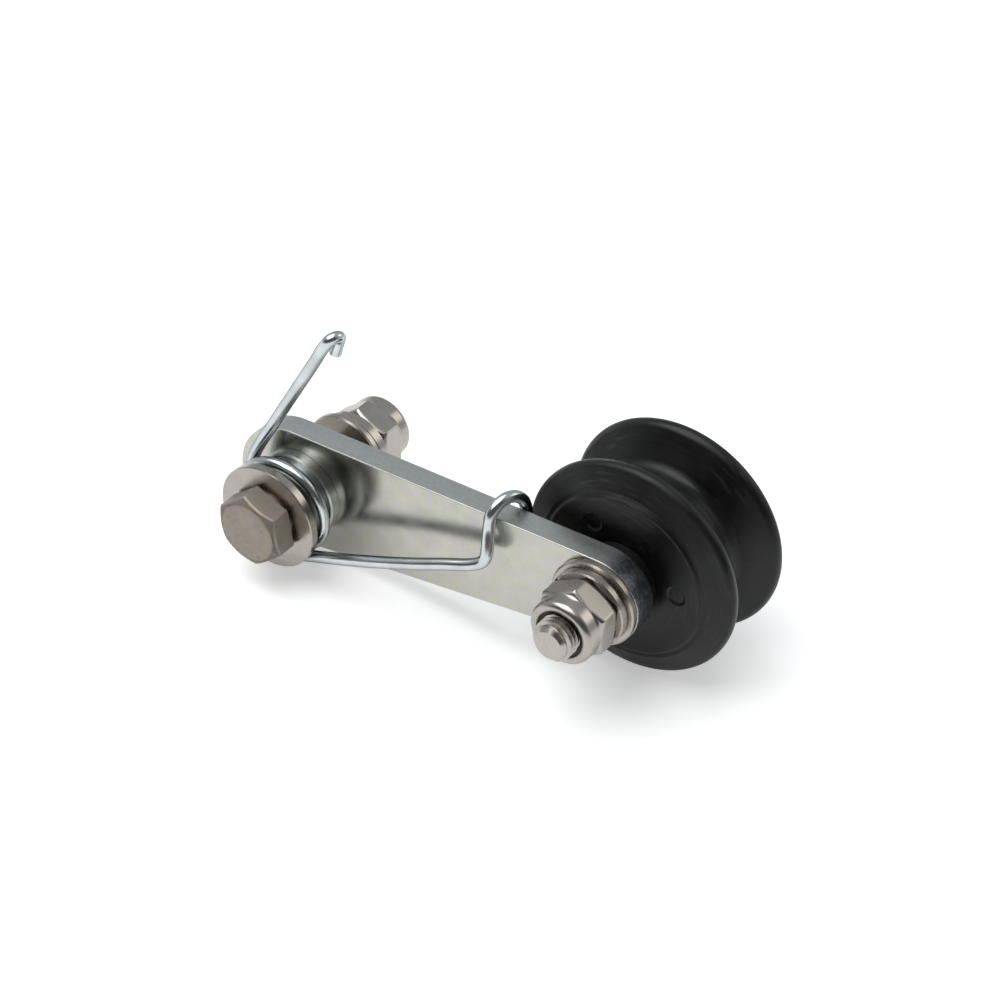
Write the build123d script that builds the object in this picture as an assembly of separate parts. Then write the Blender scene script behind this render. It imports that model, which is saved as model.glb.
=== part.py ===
from build123d import *
import os
from math import asin, atan2, cos, degrees, radians, sin, sqrt, tan

# Spring-loaded chain tensioner for a bicycle. Lengths in millimetres.
# The pivot axis is Y and the frame lug sits against the bush at y = 0.
# Everything in front of the lug has negative y. +Z is up, +X runs along the arm.

# Fits
axial_play = 0.1
journal_clearance = 0.05
roller_clearance = 0.08
bolt_clearance = 0.15
thread_fit = 0.02

# Bolts and lock nuts
bolt_d = 8.0
hex_flats = 13.0
head_height = 5.8
head_face = 0.9
seat_ring_d = 11.6
seat_step = 0.6
tip_chamfer = 1.2
nut_hex_height = 5.3
nut_face = 0.95
nut_height = 8.5
nut_collar_d = 12.85
nut_mouth_d = 9.2
nut_insert_d = 10.6
nut_insert_height = 2.4
collar_lip = 0.6
hex_chamfer = 30.0

# Washers
front_washer_d = 21.2
front_washer_t = 1.8
flat_washer_d = 17.2
flat_washer_t = 1.5
lock_washer_d = 15.2
lock_washer_t = 1.8
lock_washer_free = 3.15
lock_washer_gap = 16.0

# Arm
arm_centres = 66.0
arm_t = 5.0
arm_pivot_r = 12.55
arm_pivot_offset = 1.9
arm_axle_r = 8.7
arm_edge = 0.2

# Pivot bush and clamp gap
journal_d = 14.0
shoulder_d = 17.6
shoulder_t = 2.1
mandrel_d = 15.0
mandrel_length = 6.55
clamp_gap = 7.8
pivot_bolt_length = 35.0

# Roller and axle
roller_d = 43.36
roller_width = 22.3
groove_floor_d = 30.0
groove_floor_width = 4.8
groove_mouth = 13.2
rim_width = 1.9
rim_ease = 0.85
lip_ease = 0.95
floor_round = 2.4
face_ring_d = 32.8
face_ring_w = 0.6
face_step = 0.6
face_ledge = 0.7
face_round = 0.5
mark_d = 4.0
mark_circle_d = 22.8
mark_depth = 0.3
mark_slope = 0.45
mark_count = 3
sleeve_d = 11.0
spacer_d = 14.5
spacer_t = 2.9
axle_bolt_end = 11.85

# Torsion spring
wire_d = 2.3
coil_d = 18.4
coil_pitch = 2.66
coil_end_gap = 0.2
lead_radius = 20.0
frame_lead = 30.0
frame_leg_angle = 55.8
frame_leg_length = 33.6
frame_hook_r = 1.4
frame_hook_turn = 17.0
frame_tail_lean = 20.8
frame_tail_length = 3.4
arm_lead = 17.5
arm_leg_angle = 15.3
arm_leg_straight = 6.0
arm_leg_drawn = 32.8
arm_leg_set_back = 3.28
arm_leg_bend_r = 2.5
upright_angle = 94.0
edge_gap_front = 0.3
edge_gap_back = 0.25
edge_hook_skew = 18.0
edge_hook_tail = 4.5

# Hexagon positions as assembled, angle of one corner above +X
head_corner = 94.0
pivot_nut_corner = 92.0
axle_nut_corner = 83.0

# Derived positions along Y
arm_back = -axial_play / 2
arm_front = arm_back - arm_t
shoulder_back = -axial_play - arm_t
shoulder_front = shoulder_back - shoulder_t
bush_front = shoulder_front - mandrel_length
head_seat = bush_front - front_washer_t
rear_washer_y = clamp_gap
rear_lock_y = rear_washer_y + flat_washer_t
pivot_nut_y = rear_lock_y + lock_washer_free
axle_lock_y = arm_front - flat_washer_t
axle_nut_y = axle_lock_y - lock_washer_t
axle_tip = axle_nut_y - axle_bolt_end
spacer_end = arm_back + spacer_t
roller_near = spacer_end + axial_play
roller_mid = roller_near + roller_width / 2
roller_far = roller_near + roller_width
far_spacer_y = roller_far + axial_play
far_washer_y = far_spacer_y + spacer_t
axle_head_y = far_washer_y + flat_washer_t
bolt_bore_d = bolt_d + 2 * bolt_clearance
sleeve_bore_d = sleeve_d + 2 * roller_clearance
# The part lies on the round pivot end of the arm and on the roller rims
lie_angle = degrees(asin((roller_d / 2 - arm_pivot_r) / (arm_centres + arm_pivot_offset)))


def rod(d, y0, y1):
    """Round bar of diameter d along Y from y0 to y1."""
    low = (Align.CENTER, Align.CENTER, Align.MIN)
    return Pos(0, y0, 0) * Rot(-90, 0, 0) * Cylinder(d / 2, y1 - y0, align=low)


def ring(outer, inner, y0, y1):
    """Plain ring along Y."""
    return rod(outer, y0, y1) - rod(inner, y0 - 1, y1 + 1)


def turned(points):
    """Solid of revolution about Y from (radius, y) points."""
    return revolve(make_face(Polyline(*points, close=True)), Axis.Y)


def eased_ring(outer, inner, y0, y1, ease):
    """Flat washer with eased outer edges."""
    body = turned([
        (inner / 2, y0),
        (outer / 2 - ease, y0),
        (outer / 2, y0 + ease),
        (outer / 2, y1 - ease),
        (outer / 2 - ease, y1),
        (inner / 2, y1),
    ])
    return body


def hexagon(y0, y1, corner, face, cut_low, cut_high):
    """Hexagonal prism along Y, corners turned down at the chosen ends to face times the flats."""
    flat = Plane(origin=(0, y0, 0), x_dir=(1, 0, 0), z_dir=(0, 1, 0))
    outline = Rot(0, 0, -corner) * RegularPolygon(hex_flats / 2, 6, major_radius=False)
    prism = extrude(flat * outline, y1 - y0)
    reach = hex_flats / sqrt(3) + 0.01
    face_r = hex_flats / 2 * face
    drop = (reach - face_r) * tan(radians(hex_chamfer))
    low = [(face_r, y0), (reach, y0 + drop)] if cut_low else [(reach, y0)]
    high = [(reach, y1 - drop), (face_r, y1)] if cut_high else [(reach, y1)]
    return prism & turned([(0, y0)] + low + high + [(0, y1)])


def bolt(seat, tip, corner, way):
    """Hexagon bolt: head seat and tip positions on Y, way is +1 when the shank points to +Y."""
    r = bolt_d / 2
    shank = turned([
        (0, seat),
        (r, seat),
        (r, tip - way * tip_chamfer),
        (r - tip_chamfer, tip),
        (0, tip),
    ])
    top = seat - way * head_height
    under = seat - way * seat_step
    head = hexagon(min(under, top), max(under, top), corner, head_face, way > 0, way < 0)
    return head + rod(seat_ring_d, min(under, seat), max(under, seat)) + shank


def lock_nut(corner):
    """Lock nut with its seat at y = 0 and its collar towards +Y."""
    body = hexagon(0, nut_hex_height, corner, nut_face, True, True)
    cr = nut_collar_d / 2
    round_in = 1.2
    collar = turned([
        (0, nut_hex_height - 1),
        (cr, nut_hex_height - 1),
        (cr, nut_height - round_in),
        (cr - round_in * 0.29, nut_height - round_in * 0.29),
        (cr - round_in, nut_height),
        (0, nut_height),
    ])
    bore = rod(bolt_d + 2 * thread_fit, -1, nut_height + 1)
    pocket_top = nut_height - collar_lip
    pocket = rod(nut_insert_d, pocket_top - nut_insert_height, pocket_top)
    mouth = rod(nut_mouth_d, pocket_top, nut_height + 1)
    return body + collar - bore - pocket - mouth


def nut_insert():
    """Nylon ring under the lip of the collar, same frame as the nut."""
    top = nut_height - collar_lip
    return ring(nut_insert_d, bolt_d, top - nut_insert_height, top)


def to_axle(piece):
    """Nut pieces turned round so that the collar points to -Y on the axle."""
    return Pos(arm_centres, axle_nut_y, 0) * Rot(0, 0, 180) * piece


def to_pivot(piece):
    return Pos(0, pivot_nut_y, 0) * piece


def pivot_bush():
    """Stepped sleeve: mandrel for the coil, shoulder in front of the arm, journal in the arm."""
    r = bolt_bore_d / 2
    ease = 0.3
    return turned([
        (r, bush_front),
        (mandrel_d / 2 - ease, bush_front),
        (mandrel_d / 2, bush_front + ease),
        (mandrel_d / 2, shoulder_front),
        (shoulder_d / 2 - ease, shoulder_front),
        (shoulder_d / 2, shoulder_front + ease),
        (shoulder_d / 2, shoulder_back),
        (journal_d / 2, shoulder_back),
        (journal_d / 2, 0),
        (r, 0),
    ])


def split_washer_flat():
    """Lock washer pressed flat under the axle nut."""
    body = eased_ring(lock_washer_d, bolt_bore_d, axle_nut_y, axle_lock_y, 0.25)
    slit = Pos(-lock_washer_d / 2, (axle_nut_y + axle_lock_y) / 2, 0)
    slit = slit * Rot(0, 0, 20) * Box(lock_washer_d, 4 * lock_washer_t, 0.8)
    return Pos(arm_centres, 0, 0) * Rot(0, 35, 0) * (body - slit)


def split_washer_free():
    """Relaxed lock washer, one turn of flat-sided wire with a gap."""
    radial = (lock_washer_d - bolt_bore_d) / 2
    mean_r = (lock_washer_d + bolt_bore_d) / 4
    rise = lock_washer_free - lock_washer_t
    turn = (360 - lock_washer_gap) / 360
    path = Helix(rise / turn, rise, mean_r)
    section = Plane(path @ 0, x_dir=(1, 0, 0), z_dir=path % 0) * Rectangle(radial, lock_washer_t)
    coil = sweep(section, path, is_frenet=True)
    lifted = Pos(0, rear_lock_y + lock_washer_t / 2, 0) * Rot(-90, 0, 0) * coil
    return Rot(0, 130, 0) * lifted


def arm():
    """Tapered plate with full round ends, a pivot hole and an axle hole."""
    ends = Pos(-arm_pivot_offset, 0) * Circle(arm_pivot_r) + Pos(arm_centres, 0) * Circle(arm_axle_r)
    outline = make_hull(ends.edges())
    face = Plane(origin=(0, arm_front, 0), x_dir=(1, 0, 0), z_dir=(0, 1, 0))
    plate = extrude(face * outline, arm_t)
    rims = plate.edges().group_by(Axis.Y)
    plate = fillet(rims[0] + rims[-1], arm_edge)
    plate -= rod(journal_d + 2 * journal_clearance, arm_front - 1, arm_back + 1)
    plate -= Pos(arm_centres, 0, 0) * rod(bolt_bore_d, arm_front - 1, arm_back + 1)
    return plate


def roller():
    """Grooved wheel, turned profile symmetric about its middle, with shallow ejector marks."""
    rim = roller_d / 2
    half = roller_width / 2
    disc_r = face_ring_d / 2 - face_ring_w / 2
    step_r = face_ring_d / 2 + face_ring_w / 2
    ledge_r = step_r + face_ledge
    lip = groove_mouth / 2
    floor = groove_floor_width / 2
    floor_r = groove_floor_d / 2
    side = [
        (sleeve_bore_d / 2, half),
        (disc_r, half),
        (step_r, half - face_step),
        (ledge_r, half - face_step),
        (rim, lip + rim_width),
        (rim, lip),
        (floor_r, floor),
    ]
    other = [(r, -v) for r, v in reversed(side)]
    face = make_face(Polyline(*side, *other, close=True))
    # the two rounds of a rim each take their own share of its width
    slope_out = atan2(rim - ledge_r, half - face_step - lip - rim_width)
    slope_in = atan2(rim - floor_r, lip - floor)
    rim_round = rim_ease / tan(slope_out / 2)
    lip_round = lip_ease / tan(slope_in / 2)
    corners = (
        (disc_r, half, face_round),
        (rim, lip + rim_width, rim_round),
        (rim, lip, lip_round),
        (floor_r, floor, floor_round),
    )
    for r, v, radius in corners:
        picked = [p for p in face.vertices() if abs(p.X - r) < 1e-6 and abs(abs(p.Y) - v) < 1e-6]
        face = fillet(picked, radius)
    wheel = revolve(face, Axis.Y)
    for k in range(mark_count):
        for side_y, depth in ((-half, mark_depth), (half, -mark_depth)):
            dish = turned([
                (0, side_y),
                (mark_d / 2, side_y),
                (mark_d / 2 - mark_slope, side_y + depth),
                (0, side_y + depth),
            ])
            wheel -= Rot(0, -360 * k / mark_count, 0) * Pos(mark_circle_d / 2, 0, 0) * dish
    return Pos(arm_centres, roller_mid, 0) * wheel


def spring_path():
    """Points along the middle of the spring wire, from the frame hook to the hook on the arm."""
    coil_r = coil_d / 2
    spread = lead_radius - coil_r
    start = frame_leg_angle + 180
    end = arm_leg_angle + 720
    y_end = bush_front + wire_d / 2 + coil_end_gap
    points = []

    def leave(heading, turn):
        """Point on the opened-out end of the coil."""
        h, t = radians(heading), radians(turn)
        return (-spread * sin(t) + lead_radius * sin(h), spread * cos(t) - lead_radius * cos(h))

    def level(heading):
        return y_end + coil_pitch * (end - heading) / 360

    # hook for the frame: tail, half turn, then the straight leg down to the coil
    x0, z0 = leave(start, start + frame_lead)
    y0 = level(start)
    a = radians(frame_leg_angle)
    turn = radians(frame_hook_turn)
    lean = radians(frame_tail_lean)
    xs = x0 + frame_leg_length * cos(a)
    zs = z0 + frame_leg_length * sin(a)
    half_turn = []
    for b in range(180, -1, -30):
        out = frame_hook_r * sin(radians(b))
        over = frame_hook_r * (1 - cos(radians(b)))
        side = over * sin(turn)
        half_turn.append((
            xs + out * cos(a) + side * sin(a),
            y0 + over * cos(turn),
            zs + out * sin(a) - side * cos(a),
        ))
    xt, yt, zt = half_turn[0]
    for s in (1.0, 0.7, 0.4):
        drop = frame_tail_length * s
        points.append((xt - drop * sin(lean), yt, zt - drop * cos(lean)))
    points += half_turn
    for k in range(5, -1, -1):
        s = frame_leg_length * k / 6
        points.append((x0 + s * cos(a), y0, z0 + s * sin(a)))
    # coil, opened out at both ends
    for part in (0.34, 0.67):
        heading = start + frame_lead * part
        x, z = leave(heading, start + frame_lead)
        points.append((x, level(heading), z))
    steps = 26
    for k in range(steps + 1):
        heading = start + frame_lead + (end - start - frame_lead - arm_lead) * k / steps
        h = radians(heading)
        points.append((coil_r * sin(h), level(heading), -coil_r * cos(h)))
    for part in (0.5, 1.0):
        heading = end - arm_lead + arm_lead * part
        x, z = leave(heading, end - arm_lead)
        points.append((x, level(heading), z))
    # leg to the arm: straight at first, then drawn back in a slow curve towards the plate
    x1, y1, z1 = points[-1]
    b = radians(arm_leg_angle)
    for k in range(1, 3):
        s = arm_leg_straight * k / 2
        points.append((x1 + s * cos(b), y1, z1 + s * sin(b)))
    for k in range(1, 7):
        s = arm_leg_straight + arm_leg_drawn * k / 6
        points.append((x1 + s * cos(b), y1 + arm_leg_set_back * (k / 6) ** 2, z1 + s * sin(b)))
    # bend upwards, then the hook over the top edge of the arm
    x2, y2, z2 = points[-1]
    y_hook = arm_front - edge_gap_front - wire_d / 2
    for k in range(1, 4):
        h = radians(arm_leg_angle + (upright_angle - arm_leg_angle) * k / 3)
        dx = arm_leg_bend_r * (sin(h) - sin(b))
        dz = arm_leg_bend_r * (cos(b) - cos(h))
        points.append((x2 + dx, y2 + (y_hook - y2) * k / 8, z2 + dz))
    x3, y3, z3 = points[-1]
    slope = (arm_pivot_r - arm_axle_r) / (arm_centres + arm_pivot_offset)
    rise = sqrt(1 - slope ** 2)
    z_hook = (arm_axle_r + (arm_centres - x3) * slope) / rise - wire_d * 0.42
    x_hook = x3 + (z_hook - z3) / tan(radians(upright_angle))
    points.append(((x3 + x_hook) / 2, (y3 + y_hook) / 2, (z3 + z_hook) / 2))
    skew = radians(edge_hook_skew)
    span = arm_t + edge_gap_front + edge_gap_back + wire_d
    hook_r = span / 2 / cos(skew)
    for b in range(0, 181, 30):
        away = hook_r * (1 - cos(radians(b)))
        lift = hook_r * sin(radians(b))
        points.append((x_hook + away * sin(skew), y_hook + away * cos(skew), z_hook + lift))
    x4, y4, z4 = points[-1]
    for s in (0.5, 1.0):
        points.append((x4, y4, z4 - edge_hook_tail * s))
    return points


def torsion_spring():
    """Round wire swept along the spring path in short lengths."""
    path = Spline(*spring_path())
    count = 24
    wire = Wire([path.trim(k / count, (k + 1) / count) for k in range(count)])
    return sweep(Plane(wire @ 0, z_dir=wire % 0) * Circle(wire_d / 2), wire)


def on_axle(piece):
    return Pos(arm_centres, 0, 0) * piece


nodes = {
    "pivot_bolt": bolt(head_seat, head_seat + pivot_bolt_length, head_corner, 1),
    "front_washer": eased_ring(front_washer_d, bolt_bore_d, head_seat, bush_front, 0.15),
    "pivot_bush": pivot_bush(),
    "torsion_spring": torsion_spring(),
    "rear_flat_washer": eased_ring(flat_washer_d, bolt_bore_d, rear_washer_y, rear_lock_y, 0.3),
    "rear_spring_washer": split_washer_free(),
    "pivot_nut": to_pivot(lock_nut(pivot_nut_corner)),
    "pivot_nut_insert": to_pivot(nut_insert()),
    "arm": arm(),
    "axle_bolt": on_axle(bolt(axle_head_y, axle_tip, head_corner, -1)),
    "axle_flat_washer": on_axle(eased_ring(flat_washer_d, bolt_bore_d, axle_lock_y, arm_front, 0.3)),
    "axle_spring_washer": split_washer_flat(),
    "axle_nut": to_axle(lock_nut(180 - axle_nut_corner)),
    "axle_nut_insert": to_axle(nut_insert()),
    "near_spacer": on_axle(ring(spacer_d, sleeve_d, arm_back, spacer_end)),
    "axle_sleeve": on_axle(ring(sleeve_d, bolt_bore_d, arm_back, far_washer_y)),
    "far_spacer": on_axle(ring(spacer_d, sleeve_d, far_spacer_y, far_washer_y)),
    "far_washer": on_axle(eased_ring(flat_washer_d, bolt_bore_d, far_washer_y, axle_head_y, 0.3)),
    "roller": roller(),
}

os.makedirs("parts", exist_ok=True)
for name, shape in nodes.items():
    placed = Rot(0, -lie_angle, 0) * shape
    placed.label = name
    export_step(placed, f"parts/{name}.step")
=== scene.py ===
from math import atan2, cos, hypot, pi, radians, sin, sqrt, tan

import bmesh
import bpy
import numpy as np
from bpy.props import FloatProperty, FloatVectorProperty, IntProperty, PointerProperty
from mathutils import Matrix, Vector


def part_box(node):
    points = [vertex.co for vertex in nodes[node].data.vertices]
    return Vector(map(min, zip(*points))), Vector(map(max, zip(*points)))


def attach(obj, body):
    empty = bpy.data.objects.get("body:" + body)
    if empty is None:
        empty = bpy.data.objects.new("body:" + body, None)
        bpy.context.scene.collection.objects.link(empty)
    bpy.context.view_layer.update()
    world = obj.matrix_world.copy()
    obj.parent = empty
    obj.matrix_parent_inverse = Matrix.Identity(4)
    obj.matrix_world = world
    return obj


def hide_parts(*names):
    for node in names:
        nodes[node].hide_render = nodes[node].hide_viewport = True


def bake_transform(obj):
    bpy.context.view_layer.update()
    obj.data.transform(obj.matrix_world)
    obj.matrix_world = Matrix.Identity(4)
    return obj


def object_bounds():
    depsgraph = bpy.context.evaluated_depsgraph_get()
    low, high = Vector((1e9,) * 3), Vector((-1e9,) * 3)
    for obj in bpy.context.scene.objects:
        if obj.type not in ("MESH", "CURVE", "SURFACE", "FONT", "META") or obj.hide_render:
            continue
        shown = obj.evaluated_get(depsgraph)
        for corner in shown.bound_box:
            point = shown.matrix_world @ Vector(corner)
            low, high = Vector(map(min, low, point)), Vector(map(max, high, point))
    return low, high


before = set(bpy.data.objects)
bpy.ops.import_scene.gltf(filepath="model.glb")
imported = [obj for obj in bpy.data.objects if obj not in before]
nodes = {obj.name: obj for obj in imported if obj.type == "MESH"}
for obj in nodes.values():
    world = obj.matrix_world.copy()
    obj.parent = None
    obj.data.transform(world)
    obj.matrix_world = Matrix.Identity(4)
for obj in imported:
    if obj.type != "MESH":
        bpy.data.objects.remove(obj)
cad_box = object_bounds()

bl_info = {
    "name": "Chain tensioner",
    "version": (1, 0, 0),
    "blender": (4, 5, 0),
    "location": "3D View > Sidebar > Tensioner",
    "description": "Dresses a spring-loaded bicycle chain tensioner: spring, bolts, nuts and finishes",
    "category": "Object",
}

MM = 0.001


def middle(node):
    """Centre of a node's box, in metres."""
    low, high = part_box(node)
    return [(a + b) / 2 for a, b in zip(low, high)]


# places that the frame gives
axle_x, _, axle_z = middle("roller")
lie = atan2(axle_z, axle_x)
floor_z = cad_box[0][2]
bush_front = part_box("pivot_bush")[0][1]
arm_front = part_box("arm")[0][1]
arm_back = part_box("arm")[1][1]

# camera: place and turn that match the photograph, in metres and radians
LENS = 99.555
SENSOR = 36
EYE = (0.2446873, -0.3211962, 0.3302930)
GAZE = (0.8782450, -0.0562449, 0.6123306)

# stage: floor, soft lamp, room and window
FLOOR_HALF = 4.0
FLOOR_DROP = 0.0001
LAMP_PLACE = (-0.24, -0.2, 0.86)
LAMP_AIM = (0.035, 0.0, 0.0)
LAMP_WIDTH = 0.9
ROOM_GREY = (0.45, 0.485, 0.51)
ROOM_DARK = (0.1, 0.1, 0.1)
DARK_WAY = (0.4, -0.9165, 0.0)
WINDOW_LIGHT = (1.9, 1.86, 1.72)
WINDOW_WAY = (0.56, 0.64, 0.526)

SHARP_EDGE = 35.0
HAIR = 0.00001


def length(name, description, mm):
    return FloatProperty(
        name=name, description=description, default=mm * MM, min=0.0, precision=5,
        subtype="DISTANCE", unit="LENGTH",
    )


def angle(name, description, degrees):
    return FloatProperty(
        name=name, description=description, default=radians(degrees), subtype="ANGLE", unit="ROTATION",
    )


def tint(name, description, rgb):
    return FloatVectorProperty(
        name=name, description=description, default=rgb, size=3, min=0.0, max=1.0, subtype="COLOR",
    )


def share(name, description, value):
    return FloatProperty(
        name=name, description=description, default=value, min=0.0, max=1.0, subtype="FACTOR",
    )


class SpringSizes(bpy.types.PropertyGroup):
    """Sizes of the torsion spring."""

    wire: length("Wire", "Diameter of the spring wire", 2.3)
    coil: length("Coil", "Mean diameter of the coil", 18.4)
    pitch: length("Pitch", "Distance from one turn to the next", 2.66)
    end_gap: length("End gap", "From the front washer to the first turn", 0.2)
    lead_radius: length("Lead radius", "Bend where a leg leaves the coil", 20.0)
    frame_lead: angle("Frame lead", "Opened-out part of the coil before the frame leg", 30.0)
    frame_heading: angle("Frame leg heading", "Direction of the frame leg above the arm", 55.8)
    frame_leg: length("Frame leg", "Straight length of the frame leg", 33.6)
    hook_radius: length("Hook radius", "Bend of the hook for the frame", 1.4)
    hook_turn: angle("Hook turn", "Turn of the hook about its leg", 17.0)
    tail_lean: angle("Tail lean", "Lean of the hook's tail", 20.8)
    tail: length("Tail", "Length of the hook's tail", 3.4)
    arm_lead: angle("Arm lead", "Opened-out part of the coil before the arm leg", 17.5)
    arm_heading: angle("Arm leg heading", "Direction of the arm leg above the arm", 15.3)
    leg_straight: length("Straight part", "Arm leg in the plane of the coil", 6.0)
    leg_drawn: length("Drawn part", "Arm leg that is drawn back to the plate", 32.8)
    set_back: length("Set back", "How far the arm leg is drawn back", 3.28)
    leg_bend: length("Leg bend", "Bend from the arm leg into the upright", 2.5)
    upright: angle("Upright", "Heading of the upright", 94.0)
    edge_gap_front: length("Front gap", "From the plate to the upright", 0.3)
    edge_gap_back: length("Back gap", "From the plate to the hook's end", 0.25)
    hook_skew: angle("Hook skew", "Skew of the hook over the plate", 18.0)
    hook_tail: length("Hook end", "Length of the hook's end behind the plate", 4.5)
    plate_pivot_radius: length("Pivot end", "Radius of the plate's pivot end", 12.55)
    plate_pivot_offset: length("Pivot end offset", "Centre of that end behind the pivot", 1.9)
    plate_axle_radius: length("Axle end", "Radius of the plate's axle end", 8.7)
    hook_sink: share("Hook sink", "How far the hook's bend starts below the plate's edge, in wires", 0.42)
    held_share: share("Held share", "Share of the coil's radius that stays with the frame", 0.76)
    turned_share: share("Turned share", "Share of the coil's radius from which it goes with the arm", 0.63)
    burr: share("Burr", "Share of the wire's radius that its cut ends are eased by", 0.1)
    spacing: length("Spacing", "Distance from ring to ring along the wire", 0.35)
    sides: IntProperty(name="Sides", description="Facets round the wire", default=24, min=8)


class FastenerSizes(bpy.types.PropertyGroup):
    """Sizes of the bolts and lock nuts."""

    shank: length("Shank", "Diameter of the bolts over the thread", 7.96)
    flats: length("Flats", "Width of heads and nuts over the flats", 13.0)
    corner_round: length("Corner round", "Worn corners of the hexagons", 0.4)
    edge_round: length("Edge round", "Broken edges of the heads", 0.26)
    nut_edge: length("Nut edge", "Broken edges of the nuts", 0.3)
    seat_ring: length("Seat ring", "Diameter of the raised ring under a head", 11.6)
    seat_step: length("Seat step", "Height of that ring", 0.6)
    head_height: length("Head height", "Height of a bolt head", 5.8)
    head_face: length("Head face", "Diameter of the flat on top of a head", 11.7)
    pitch: length("Thread pitch", "Distance from one thread to the next", 1.0)
    depth: length("Thread depth", "Depth of the thread", 0.61)
    thread: length("Thread length", "Threaded length from the tip", 22.0)
    tip_chamfer: length("Tip chamfer", "Chamfer at the tip of a bolt", 1.2)
    nut_hex: length("Nut hexagon", "Height of a nut's hexagon", 5.3)
    nut_face: length("Nut face", "Diameter of a nut's seat", 12.35)
    nut_height: length("Nut height", "Height of a nut with its collar", 8.5)
    collar: length("Collar", "Diameter of a nut's collar", 12.85)
    collar_round: length("Collar round", "Round of the collar", 1.3)
    mouth: length("Mouth", "Diameter of the opening in the collar", 9.2)
    lip: length("Lip", "Depth of the opening down to the insert", 0.6)
    bore_play: length("Bore play", "Room between a nut's bore and its bolt", 0.04)
    bore_ease: length("Bore ease", "Countersink of a nut's bore", 0.4)
    collar_sweep: length("Collar sweep", "Hollow from a nut's hexagon into its collar", 0.5)
    head_corner: angle("Head corner", "Heading of a head's corner", 94.0)
    pivot_nut_corner: angle("Pivot nut corner", "Heading of a corner of the pivot nut", 92.0)
    axle_nut_corner: angle("Axle nut corner", "Heading of a corner of the axle nut", 83.0)


class FinishColours(bpy.types.PropertyGroup):
    """Colours and gloss of the finishes."""

    plate: tint("Plate", "Zinc on the arm", (0.52, 0.524, 0.475))
    plate_edge: tint("Plate edge", "Zinc on the sawn edges of the arm", (0.5, 0.512, 0.488))
    # painted shade: this tint darkens the arm's edges round the axle end, next to the black roller, where
    # shade falls
    plate_end_shade: tint("Plate end", "Rougher, darker zinc round the axle end of the arm", (0.17, 0.183, 0.205))
    plate_rough: share("Plate roughness", "Roughness of the arm's faces", 0.2)
    wire: tint("Wire", "Bright zinc on the spring", (0.6, 0.635, 0.64))
    wire_rim: tint("Wire rim", "Tint of the spring seen edge-on", (0.31, 0.35, 0.36))
    wire_rough: share("Wire roughness", "Roughness of the spring", 0.16)
    bush: tint("Bush", "Zinc on the turned bush", (0.48, 0.5, 0.49))
    turned_rough: share("Turned roughness", "Roughness of the bush and the sleeve", 0.3)
    bush_lines: share("Bush lines", "Depth of the tool lines on the bush", 0.15)
    sleeve_lines: share("Sleeve lines", "Depth of the tool lines on the sleeve", 0.35)
    steel: tint("Stainless steel", "Nuts and washers", (0.42, 0.388, 0.354))
    formed_steel: tint("Formed steel", "Cold-formed pivot bolt", (0.33, 0.294, 0.258))
    bright_steel: tint("Bright steel", "Cleaner axle bolt", (0.46, 0.436, 0.395))
    formed_rough: share("Formed roughness", "Roughness of the cold-formed pivot bolt", 0.52)
    steel_rough: share("Steel roughness", "Roughness of bolts, nuts and washers", 0.26)
    roller: tint("Roller", "Black plastic of the roller", (0.0024, 0.0024, 0.0024))
    roller_rough: share("Roller roughness", "Roughness of the roller", 0.4)
    roller_wear: share("Roller wear", "Strength of the scuffs on the roller", 0.75)
    # black plastic, whose black is partly painted shade for the dark gap between the arm and the roller
    spacer: tint("Spacer", "Black plastic of the spacers", (0.004, 0.004, 0.004))
    spacer_rough: share("Spacer roughness", "Roughness of the spacers", 0.5)
    # painted shade: the plastic rings are near black, standing in for the shade inside the collar's mouth
    insert: tint("Insert", "Plastic ring in the lock nuts", (0.02, 0.02, 0.021))
    insert_rough: share("Insert roughness", "Roughness of the plastic rings", 0.4)
    small_wear: share("Small wear", "Strength of the scuffs on spacers and rings", 0.3)


class StageSettings(bpy.types.PropertyGroup):
    """Floor and light."""

    floor: tint("Floor", "Colour of the floor", (0.88, 0.88, 0.88))
    lift: FloatProperty(
        name="Lift", description="Added to the floor where it is seen, so that it is white", default=0.42,
    )
    sheen: FloatProperty(name="Sheen", description="Added to the floor where metal mirrors it", default=0.28)
    key: FloatProperty(name="Key", description="Power of the large soft light in watts", default=7.5, min=0.0)


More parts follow.
